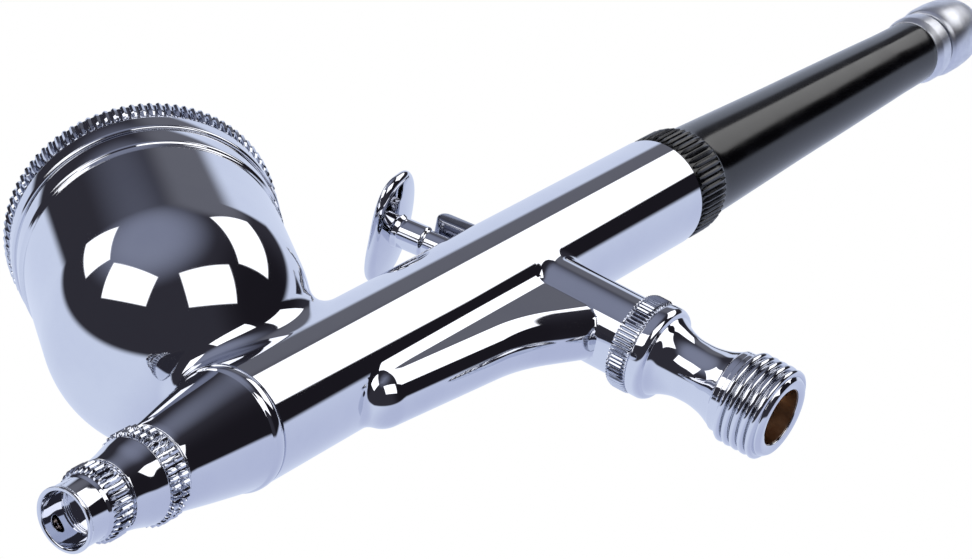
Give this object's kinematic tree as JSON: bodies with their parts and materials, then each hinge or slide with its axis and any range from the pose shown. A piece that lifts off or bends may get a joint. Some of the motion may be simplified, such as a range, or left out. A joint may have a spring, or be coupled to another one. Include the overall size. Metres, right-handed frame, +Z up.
{
  "type": "airbrush gun",
  "caption": "Gravity-feed dual-action airbrush: tubular barrel with a leaning lidded colour cup, thumb trigger, threaded air inlet, tapered black handle and preset knob.",
  "frame": {"origin": "centre of the open end of the threaded air inlet", "axes": "+Z up the valve axis towards the barrel, +X back along the barrel towards the handle, the nozzle points to -X"},
  "size_m": [0.1662, 0.0274, 0.0708],
  "materials": {
    "chrome_plate": "mirror chromium plate on brass",
    "chrome_trim": "chromium plate, turned and knurled",
    "black_handle": "gloss black lacquer on turned aluminium",
    "nickel_brass": "turned brass",
    "stainless": "ground stainless steel",
    "spring_steel": "spring wire",
    "white_seal": "fluoropolymer packing",
    "rubber_seal": "nitrile rubber"
  },
  "bodies": {
    "airframe": {"main_body": "chrome_plate", "paint_cup": "chrome_plate", "spray_head": "chrome_plate", "head_seal": "white_seal", "nozzle_cap": "chrome_plate", "needle_cap": "chrome_plate", "fluid_nozzle": "nickel_brass", "nozzle_seal": "white_seal", "needle_packing": "white_seal", "packing_screw": "nickel_brass", "plunger_packing": "white_seal", "plunger_guide": "nickel_brass", "needle_spring": "spring_steel", "spring_case": "chrome_trim", "handle": "black_handle", "handle_bush": "chrome_trim", "valve_body": "chrome_plate", "valve_body_seal": "rubber_seal", "valve_spring": "spring_steel", "valve_retainer": "nickel_brass"},
    "lid": {"cup_lid": "chrome_plate"},
    "valve_stem": {"air_plunger": "stainless", "trigger_pin": "stainless", "valve_seal": "rubber_seal"},
    "trigger": {"trigger": "chrome_plate"},
    "needle_carriage": {"needle_guide": "chrome_trim", "needle": "stainless", "chuck_nut": "chrome_trim", "lever_pin": "stainless"},
    "auxiliary_lever": {"auxiliary_lever": "chrome_trim"},
    "preset_stop": {"preset_rod": "stainless"},
    "preset_knob": {"preset_knob": "chrome_trim"}
  },
  "joints": [
    {"name": "lid_lift", "type": "slide", "parent": "airframe", "child": "lid", "axis": [0.6061, 0, 0.7954], "range_m": [0, 0.025]},
    {"name": "trigger_press", "type": "slide", "parent": "airframe", "child": "valve_stem", "axis": [0, 0, -1], "range_m": [0, 0.0015], "stiffness_N_per_m": 600, "springref_m": -0.003, "deforming": ["valve_spring"]},
    {"name": "trigger_pull", "type": "hinge", "parent": "valve_stem", "child": "trigger", "pos_m": [0, 0, 0.0286], "axis": [0, 1, 0], "range_deg": [0, 18], "stiffness_Nm_per_rad": 0.06, "springref_deg": -11.46, "deforming": ["needle_spring"]},
    {"name": "needle_slide", "type": "slide", "parent": "airframe", "child": "needle_carriage", "axis": [1, 0, 0], "range_m": [0, 0.004]},
    {"name": "auxiliary_lever_rock", "type": "hinge", "parent": "needle_carriage", "child": "auxiliary_lever", "pos_m": [0.0052, 0, 0.0309], "axis": [0, 1, 0], "range_deg": [0, 5.5]},
    {"name": "preset_advance", "type": "slide", "parent": "airframe", "child": "preset_stop", "axis": [1, 0, 0], "range_m": [-0.0004, 0.003]},
    {"name": "preset_turn", "type": "hinge", "parent": "preset_stop", "child": "preset_knob", "pos_m": [0.09, 0, 0.0328], "axis": [1, 0, 0], "range_deg": [-289, 2161]}
  ],
  "couplings": [
    {"joint": "needle_slide", "follows": "trigger_pull", "m_per_rad": 0.0126},
    {"joint": "auxiliary_lever_rock", "follows": "trigger_pull", "ratio": 0.3},
    {"joint": "preset_turn", "follows": "preset_advance", "rad_per_m": 12566}
  ]
}
